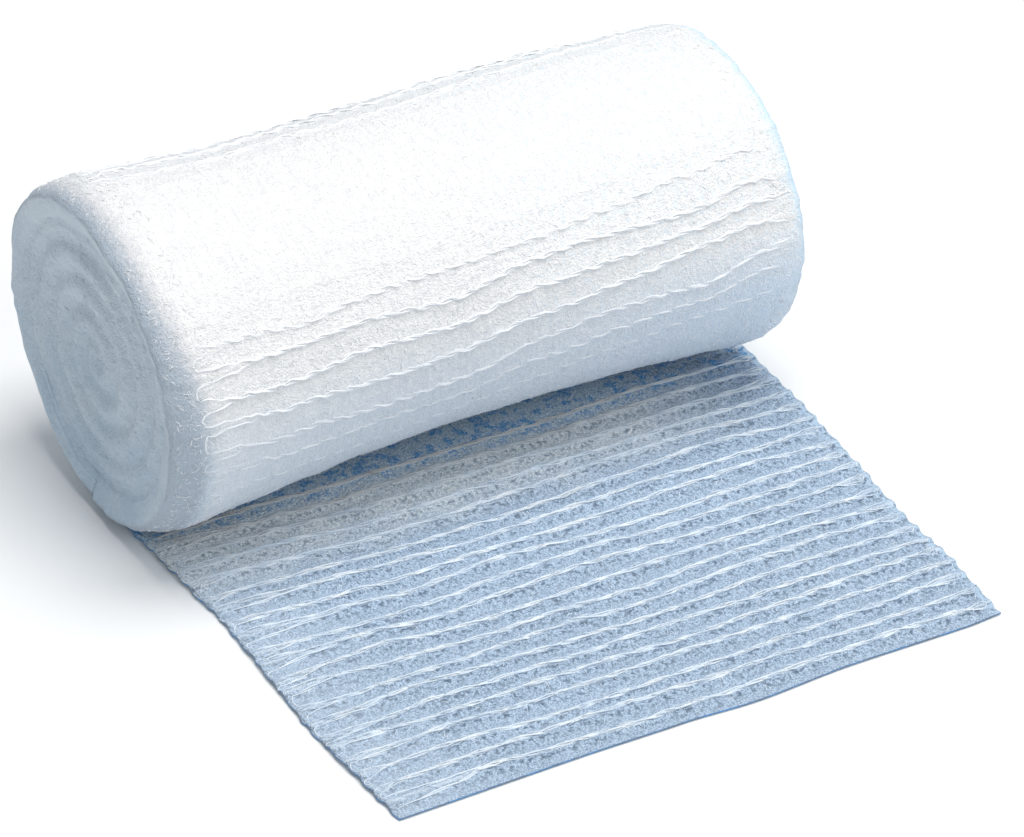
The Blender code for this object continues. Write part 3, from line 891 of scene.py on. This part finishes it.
class LooseSettings(bpy.types.PropertyGroup):
    """Sizes and colours of the loose end."""

    cloth_height: size("Cloth height", "Height of the single layer's upper side", 0.34)
    thickness: size("Thickness", "Thickness of the single layer", 0.2)
    rib_height: size("Rib height", "How far a rib stands up", 0.16)
    crepe_height: size("Crepe", "Height of the crepe's small puckers", 0.06)
    pair_half: size("Pair", "Half the distance between a rib's two passes of yarn", 0.17)
    ply_radius: size("Ply radius", "Radius of one ply of the weft yarn", 0.105)
    wale_pitch: size("Wale pitch", "Distance between two wales of the knitted ground", 0.5)
    knit_radius: size("Knit thread radius", "Radius of the ground's thread", 0.06)
    fibre_count: number("Fibres", "Loose fibres on the layer", 1000)
    rib_fibres: number("Rib fibres", "Fibres along its ribs", 2600)
    fibre_radius: size("Fibre radius", "Radius of a loose fibre", 0.045)
    ground_colour: colour("Ground", "Open ground between the ribs", (0.53, 0.67, 0.84))
    ground_shade: colour("Ground shade", "Darker places of the ground", (0.25, 0.34, 0.46))
    gap_colour: colour("Gaps", "Clumps of open gaps beside the ribs", (0.14, 0.20, 0.28))
    # Painted shade: the grey tones of the ground where the roll's shadow falls
    painted_shadow_ground: colour("Near ground", "The ground close by the roll", (0.98, 1.0, 1.0))
    painted_shadow_speckle: colour("Near shade", "Its darker places", (0.54, 0.64, 0.73))
    painted_shadow_gap: colour("Near gaps", "Clumps of open gaps there", (0.29, 0.36, 0.43))
    # Painted shade: the weft yarn in the roll's shadow
    painted_shadow_yarn: colour("Near yarn", "The weft yarn close by the roll", (0.64, 0.66, 0.68))
    blue_ground: colour("First panels", "The ground right beside the roll", (0.60, 0.78, 0.93))
    blue_shade: colour("First shade", "Its darker places", (0.26, 0.44, 0.62))
    blue_colour: colour("Blue patches", "Thin places right beside the roll", (0.02, 0.28, 0.66))
    knit_colour: colour("Knit", "Thread of the knitted ground", (0.64, 0.77, 0.91))
    knit_shade: colour("Knit shade", "The same thread where it is thinner", (0.40, 0.53, 0.69))
    yarn_colour: colour("Yarn", "Weft yarn", (0.83, 0.89, 0.945))
    yarn_shade: colour("Yarn shade", "Weft yarn where it is thinner", (0.69, 0.79, 0.89))
    selvedge_colour: colour("Selvedge", "Pale band along the right selvedge", (0.54, 0.73, 0.92))
    # Painted shade: a blue line on the layer's edges for the shaded gap beneath them
    edge_line_painted_shade: colour("Cut edge", "Blue line along the cut end and the selvedges", (0.09, 0.29, 0.62))


class StageSettings(bpy.types.PropertyGroup):
    """Floor, light and camera."""

    floor_colour: colour("Floor", "Plain pale floor", (0.93, 0.935, 0.94))
    fill_colour: colour("Fill light", "Colour of the light from all round", (0.84, 0.92, 1.0))
    fill_strength: strength("Fill strength", "Light from all round", 0.40)
    key_power: strength("Key power", "Light from above", 3.0, "POWER")
    front_power: strength("Front power", "Soft light from the camera's right", 1.7, "POWER")


# -------------------- the pieces

def angle_at(across):
    """The angle at a distance past the roll's first rib."""
    return (across / RIB_GIRTH + 0.5) * RIB_ANGLE


def lay_on_roll(reach, across, lift, settings, clear):
    """Places on the roll, by the distance past its first rib."""
    angle = angle_at(across)
    return roll_place(reach, angle, roll_relief(reach, angle, settings) + lift, clear)


def lay_on_loose(reach, across, lift, settings):
    """Places on the loose end, by the distance past its first rib."""
    place = FIRST_RIB - across
    return loose_place(reach, place, loose_relief(reach, place, settings) + lift)


class GAUZE_OT_roll_cloth(bpy.types.Operator):
    """Model the outer turn's cloth with its rims and dished ends"""

    bl_idname = "gauze.roll_cloth"
    bl_label = "Roll cloth"

    def execute(self, context):
        settings = context.scene.gauze_roll
        angles = np.append(np.linspace(0.0, 360.0, 9 * ROLL_RIBS + 1), 0.0)
        outer = np.concatenate([
            np.linspace(0.0, BARREL_HALF, 74, endpoint=False),
            np.linspace(BARREL_HALF, BARREL_HALF + RIM_END, 15, endpoint=False),
            np.linspace(BARREL_HALF + RIM_END, FULL_REACH, 36),
        ])
        reaches = np.concatenate([-outer[:0:-1], outer])

        def place(column, row):
            angle, reach = angles[column], reaches[row]
            lift = roll_relief(reach, angle, settings) + face_relief(reach, angle, settings)
            return roll_place(reach, angle, lift)

        def cloth_uv(column, row):
            return np.stack([reaches[row] / COURSE_UNIT, angles[column] / RIB_ANGLE - 0.5], axis=-1)

        def endness(column, row):
            lower = ramp(angles[column], *LEFT_TURNS)
            start = np.where(reaches[row] < 0.0, blend(*LEFT_FROM, lower), RIGHT_FROM)
            past = (np.abs(reaches[row]) - BARREL_HALF) / RIM_ARC
            return ramp(past, start, start + END_SPAN) + ramp(past, *OVER_CREST)

        cloth = mesh_object(grid(len(angles), len(reaches), place, cloth_uv, endness), "roll_cloth")
        finish_piece(cloth, roll_finish(settings), "wound_roll")
        return {"FINISHED"}


class GAUZE_OT_roll_weft(bpy.types.Operator):
    """Lay the weft yarn over the roll's ribs"""

    bl_idname = "gauze.roll_weft"
    bl_label = "Roll weft"

    def execute(self, context):
        settings = context.scene.gauze_roll
        radius = settings.ply_radius / MM
        half = BARREL_HALF + 0.4 * RIM_ARC
        pair_half = settings.pair_half / MM
        reach, across, over = weft(ROLL_RIBS, half, RIB_GIRTH, pair_half, ROLL_PAIR_TURN, ROLL_STEP, 41)
        reach = np.where(reach < 0.0, reach * (1.0 - LEFT_SHORT / half), reach)
        rib = np.round(across / RIB_GIRTH)
        wave = blend(*SCALLOP, ramp(rib, *SCALLOP_RIBS))
        drift = 2.1 * rib + 2.5 * uneven(reach / 4.0, rib * 3.3, 49)
        across = across + wave * np.sin(2.0 * np.pi * reach / SCALLOP_PITCH + drift)
        at_rim = ramp(np.abs(reach) - BARREL_HALF, -0.5 * RIM_ARC, 0.4 * RIM_ARC)
        sunk = hidden(angle_at(across)) + np.where(reach < 0.0, *SUNK_RIMS) * at_rim
        paths = []
        for ply in plies(reach, across, YARN_OVER * over - sunk, 0.8 * radius):
            points = lay_on_roll(*ply, settings, 1.25 * radius)
            paths.append((points, slubs(points, 3.0, 42)))
        # the yarn carries painted shade low down
        finish = yarn_finish("roll_yarn", settings.yarn_colour, settings.yarn_shade, low=settings.low_yarn_painted_shade)
        finish_piece(threads("roll_weft", paths, settings.ply_radius), finish)
        return {"FINISHED"}


class GAUZE_OT_roll_fibres(bpy.types.Operator):
    """Raise the crepe's loose fibres round the barrel and curl them over the rims"""

    bl_idname = "gauze.roll_fibres"
    bl_label = "Roll fibres"

    def execute(self, context):
        settings = context.scene.gauze_roll
        round_it = (0.0, (ROLL_RIBS - 1) * RIB_GIRTH)
        barrel = (-BARREL_HALF - 1.0, BARREL_HALF + 1.0)
        reach, across = fibres(settings.fibre_count, barrel, round_it, (0.5, 1.3), 0.2, 0.8, 43)
        flat = 0.1 * taut(angle_at(across))
        points = lay_on_roll(reach, across, 0.12 * FIBRE_UP - 0.05 - flat, settings, 0.05)
        paths = [(path, 1.0) for path in points]
        for end in (-1.0, 1.0):
            shift = LEFT_SHORT if end < 0.0 else 0.0
            rim_span = (BARREL_HALF - 0.5 - shift, BARREL_HALF + RIM_ARC + 0.6 - shift)
            seed = 44 + int(end)
            reach, across = fibres(settings.rim_count, rim_span, round_it, (0.3, 0.8), 0.3, 1.2, seed)
            reach = end * reach
            angle = angle_at(across)
            lift = 0.08 * FIBRE_UP - 0.03 + face_relief(reach, angle, settings)
            widths = np.where(np.arange(len(reach)) % 4, 0.55, 1.1)
            paths.extend(zip(roll_place(reach, angle, lift, 0.05), widths))
        # the fibres carry painted shade low down
        finish = yarn_finish("roll_fibre", settings.yarn_colour, settings.cloth_colour,
                             low=settings.low_yarn_painted_shade)
        finish_piece(threads("roll_fibres", paths, settings.fibre_radius), finish)
        return {"FINISHED"}


class GAUZE_OT_end_fibres(bpy.types.Operator):
    """Felt both end faces with short fibres of the cloth's edges"""

    bl_idname = "gauze.end_fibres"
    bl_label = "End fibres"

    def execute(self, context):
        settings = context.scene.gauze_roll
        draws = np.random.default_rng(48)
        paths = []
        for end in (-1.0, 1.0):
            centre = draws.uniform(-MEAN_RADIUS, MEAN_RADIUS, (2 * settings.face_count, 2))
            centre = centre[np.hypot(*centre.T) < GROOVE_SHARE * MEAN_RADIUS][:settings.face_count]
            turn = draws.uniform(0.0, math.pi, (len(centre), 1))
            length = draws.uniform(0.5, 1.1, (len(centre), 1))
            side, down = bowed(centre[:, :1], centre[:, 1:], length, turn, 0.2 * length)
            share = np.hypot(side, down) / MEAN_RADIUS
            angle = np.degrees(np.arctan2(side, down)) % 360.0
            reach = end * (BARREL_HALF + RIM_END + FACE_RADIUS * (1.0 - share / GROOVE_SHARE))
            lift = face_relief(reach, angle, settings) + 0.05 * FIBRE_UP - 0.02
            paths.extend((path, 0.5) for path in roll_place(reach, angle, lift))
        finish = yarn_finish("end_fibre", settings.felt_colour, settings.end_colour)
        finish_piece(threads("end_fibres", paths, settings.fibre_radius), finish)
        return {"FINISHED"}


class GAUZE_OT_roll_turns(bpy.types.Operator):
    """Wind the edges of the inner turns on both end faces"""

    bl_idname = "gauze.roll_turns"
    bl_label = "Turn edges"

    def execute(self, context):
        settings = context.scene.gauze_roll
        pitch = settings.turn_pitch / MM
        turns = (FACE_RADIUS + 1.2 - pitch) / pitch
        angle, angles = 0.0, []
        while angle < 360.0 * turns:
            angles.append(angle)
            radius = max(FACE_RADIUS - pitch * angle / 360.0, 1.0)
            angle += math.degrees(1.0 / radius)
        angles = np.array(angles)
        past = RIM_END - 1.2 + pitch * angles / 360.0
        paths = []
        for end in (-1.0, 1.0):
            drift = 0.12 * uneven(angles / 40.0, past, 45 + int(end))
            wrapped = np.mod(angles, 360.0)
            reach = end * (BARREL_HALF + past + drift)
            lift = 0.1 * uneven(angles / 25.0, past * 2.0, 47) + face_relief(reach, wrapped, settings)
            paths.append((roll_place(reach, wrapped, lift - 0.42), 1.0))
        edges = threads("roll_turns", paths, 0.45 * pitch * MM, 1)
        finish_piece(edges, end_finish(settings))
        return {"FINISHED"}


class GAUZE_OT_loose_cloth(bpy.types.Operator):
    """Model the single layer of the loose end"""

    bl_idname = "gauze.loose_cloth"
    bl_label = "Loose cloth"

    def execute(self, context):
        settings = context.scene.gauze_loose
        ribbed = FIRST_RIB + RIB_PITCH / 2 - RIB_PITCH * np.arange(8 * LOOSE_RIBS + 1) / 8
        places = np.concatenate([[0.0, -3.0, -5.5, -7.2], ribbed, [CUT_END + 0.2, CUT_END]])
        places = np.sort(places)[::-1]
        reaches = np.linspace(-LOOSE_HALF, LOOSE_HALF, 131)

        def place(column, row):
            reach, across = reaches[column], places[row]
            return loose_place(reach, across, loose_relief(reach, across, settings))

        def cloth_uv(column, row):
            return np.stack([reaches[column] / COURSE_UNIT, (FIRST_RIB - places[row]) / RIB_PITCH], axis=-1)

        cloth = mesh_object(grid(len(reaches), len(places), place, cloth_uv), "loose_cloth")
        finish_piece(cloth, sheet_finish(settings), "loose_end")
        # painted shade on the layer's edges, for the gap beneath them
        edge = yarn_finish("blue_edge", settings.edge_line_painted_shade, settings.gap_colour)
        cloth.data.materials.append(edge)
        thick = cloth.modifiers.new("Thickness", "SOLIDIFY")
        thick.thickness = settings.thickness
        thick.offset = -1.0
        thick.material_offset_rim = 1
        return {"FINISHED"}


class GAUZE_OT_loose_weft(bpy.types.Operator):
    """Lay the weft yarn over the loose end's ribs, with its selvedge loops"""

    bl_idname = "gauze.loose_weft"
    bl_label = "Loose weft"

    def execute(self, context):
        settings = context.scene.gauze_loose
        radius = settings.ply_radius / MM
        pair_half = settings.pair_half / MM
        half = LOOSE_HALF - 0.45
        reach, across, over = weft(LOOSE_RIBS, half, RIB_PITCH, pair_half, LOOSE_PAIR_TURN, LOOSE_STEP, 51)
        paths = []
        inside = np.abs(reach) - LOOSE_HALF
        finer = 1.0 - 0.4 * ramp(inside, -4.0, -1.0)
        lift = 0.02 + 0.07 * over - np.where(reach < 0.0, 0.09, 0.06) * ramp(inside, -2.5, -0.8)
        for ply in plies(reach, across, lift, 0.8 * radius):
            points = lay_on_loose(*ply, settings)
            paths.append((points, finer * slubs(points, 4.0, 52)))
        # the yarn carries painted shade in the roll's shadow
        finish = yarn_finish("loose_yarn", settings.yarn_colour, settings.yarn_shade, settings.painted_shadow_yarn)
        finish_piece(threads("loose_weft", paths, settings.ply_radius), finish)
        return {"FINISHED"}


class GAUZE_OT_loose_knit(bpy.types.Operator):
    """Knit the fine wales along the loose end"""

    bl_idname = "gauze.loose_knit"
    bl_label = "Loose knit"

    def execute(self, context):
        settings = context.scene.gauze_loose
        draws = np.random.default_rng(53)
        wales = np.arange(-LOOSE_HALF + 0.3, LOOSE_HALF - 0.2, settings.wale_pitch / MM)
        across = np.arange(-1.5, FIRST_RIB - CUT_END - 0.1, KNIT_STEP)
        paths = []
        for wale in wales:
            reach = wale + draws.uniform(-KNIT_SWAY, KNIT_SWAY, len(across))
            lift = draws.uniform(*KNIT_LIFT, len(across))
            paths.append((lay_on_loose(reach, across, lift, settings), 1.0))
        # the knit takes the painted shadow's grey by the roll
        finish = yarn_finish("loose_thread", settings.knit_colour, settings.knit_shade, settings.painted_shadow_ground)
        finish_piece(threads("loose_knit", paths, settings.knit_radius), finish)
        return {"FINISHED"}


class GAUZE_OT_loose_fibres(bpy.types.Operator):
    """Lay loose fibres over the single layer"""

    bl_idname = "gauze.loose_fibres"
    bl_label = "Loose fibres"

    def execute(self, context):
        settings = context.scene.gauze_loose
        wide, deep = (-LOOSE_HALF + 0.4, LOOSE_HALF - 0.4), (0.0, FIRST_RIB - CUT_END - 0.5)
        reach, across = fibres(settings.fibre_count, wide, deep, (0.4, 1.1), 0.25, 0.7, 55)
        points = lay_on_loose(reach, across, 0.12 * FIBRE_UP - 0.05, settings)
        paths = [(path, 1.0) for path in points]
        reach, across = fibres(settings.rib_fibres, wide, (-0.35, 0.35), (0.7, 2.0), 0.12, 0.22, 56, 0.0)
        across = across + RIB_PITCH * (np.arange(len(reach)) % LOOSE_RIBS)[:, None]
        points = lay_on_loose(reach, across, 0.06 * FIBRE_UP + 0.17, settings)
        paths.extend((path, 0.8) for path in points)
        # the fibres carry painted shade in the roll's shadow
        finish = yarn_finish("loose_fibre", settings.yarn_colour, settings.knit_colour, settings.painted_shadow_yarn)
        finish_piece(threads("loose_fibres", paths, settings.fibre_radius), finish)
        return {"FINISHED"}


# -------------------- the stage

CAMERA_PLACE = Vector((-246.754, -458.935, 350.659))
CAMERA_AZIMUTH, CAMERA_ELEVATION, CAMERA_ROLL = -29.55, 34.0, 0.22
IMAGE_WIDTH = 1024
FOCAL_PIXELS = 5500
SENSOR = 36.0


def turned(azimuth, elevation, roll=0.0):
    """The rotation of a camera or lamp that looks at the middle from an azimuth and elevation."""
    return (Matrix.Rotation(math.radians(azimuth), 4, "Z")
            @ Matrix.Rotation(math.radians(90.0 - elevation), 4, "X")
            @ Matrix.Rotation(math.radians(roll), 4, "Z"))


def area_light(name, azimuth, elevation, distance, side, power, tint):
    lamp = bpy.data.lights.new(name, "AREA")
    lamp.shape = "SQUARE"
    lamp.size = side
    lamp.energy = power
    lamp.color = tint
    obj = bpy.data.objects.new(name, lamp)
    pose = turned(azimuth, elevation)
    obj.matrix_world = Matrix.Translation(pose @ Vector((0.0, 0.0, distance))) @ pose
    bpy.context.scene.collection.objects.link(obj)


class GAUZE_OT_stage(bpy.types.Operator):
    """Set the floor, the light and the camera"""

    bl_idname = "gauze.stage"
    bl_label = "Stage"

    def execute(self, context):
        settings = context.scene.gauze_stage
        scene = context.scene
        scene.view_settings.view_transform = "Standard"
        bm = bmesh.new()
        bmesh.ops.create_grid(bm, x_segments=1, y_segments=1, size=4.0)
        floor = mesh_object(bm, "floor")
        material, tree, place = new_finish("floor_paper")
        shader = tree.nodes["Principled BSDF"]
        shade = tuple(0.97 * c for c in settings.floor_colour)
        tone = mixed(tree, noise(tree, place, 0.3, 1.0), settings.floor_colour, shade)
        tree.links.new(tone, shader.inputs["Base Color"])
        shader.inputs["Roughness"].default_value = 0.9
        floor.data.materials.append(material)

        world = bpy.data.worlds.new("studio")
        world.use_nodes = True
        background = world.node_tree.nodes["Background"]
        background.inputs["Color"].default_value = (*settings.fill_colour, 1.0)
        background.inputs["Strength"].default_value = settings.fill_strength
        scene.world = world
        area_light("key", 80.0, 82.0, 0.6, 0.4, settings.key_power, (1.0, 0.98, 0.955))
        area_light("front", 15.0, 35.0, 0.8, 0.5, settings.front_power, (1.0, 0.98, 0.955))

        camera = bpy.data.cameras.new("camera")
        camera.sensor_width = SENSOR
        camera.lens = FOCAL_PIXELS / IMAGE_WIDTH * SENSOR
        camera.clip_end = 20.0
        viewer = bpy.data.objects.new("camera", camera)
        pose = turned(CAMERA_AZIMUTH, CAMERA_ELEVATION, CAMERA_ROLL)
        viewer.matrix_world = Matrix.Translation((CAMERA_PLACE + ZERO) * MM) @ pose
        scene.collection.objects.link(viewer)
        scene.camera = viewer
        return {"FINISHED"}


# -------------------- the add-on

PIECES = (
    GAUZE_OT_roll_cloth, GAUZE_OT_roll_weft, GAUZE_OT_roll_fibres, GAUZE_OT_roll_turns,
    GAUZE_OT_end_fibres, GAUZE_OT_loose_cloth, GAUZE_OT_loose_weft, GAUZE_OT_loose_knit,
    GAUZE_OT_loose_fibres, GAUZE_OT_stage,
)
SETTINGS = {"gauze_roll": RollSettings, "gauze_loose": LooseSettings, "gauze_stage": StageSettings}


class GAUZE_PT_pieces(bpy.types.Panel):
    """Lists the bandage's pieces and their settings"""

    bl_idname = "GAUZE_PT_pieces"
    bl_label = "Gauze bandage roll"
    bl_space_type = "VIEW_3D"
    bl_region_type = "UI"
    bl_category = "Gauze"

    def draw(self, context):
        for piece in PIECES:
            self.layout.operator(piece.bl_idname)
        for group in SETTINGS:
            settings = getattr(context.scene, group)
            box = self.layout.box()
            for name in settings.__annotations__:
                box.prop(settings, name)


CLASSES = (*SETTINGS.values(), *PIECES, GAUZE_PT_pieces)


def register():
    for item in CLASSES:
        bpy.utils.register_class(item)
    for name, group in SETTINGS.items():
        setattr(bpy.types.Scene, name, PointerProperty(type=group))


def unregister():
    for name in SETTINGS:
        delattr(bpy.types.Scene, name)
    for item in reversed(CLASSES):
        bpy.utils.unregister_class(item)


def main():
    register()
    for piece in PIECES:
        getattr(bpy.ops.gauze, piece.bl_idname.split(".")[1])()


if __name__ == "__main__":
    main()
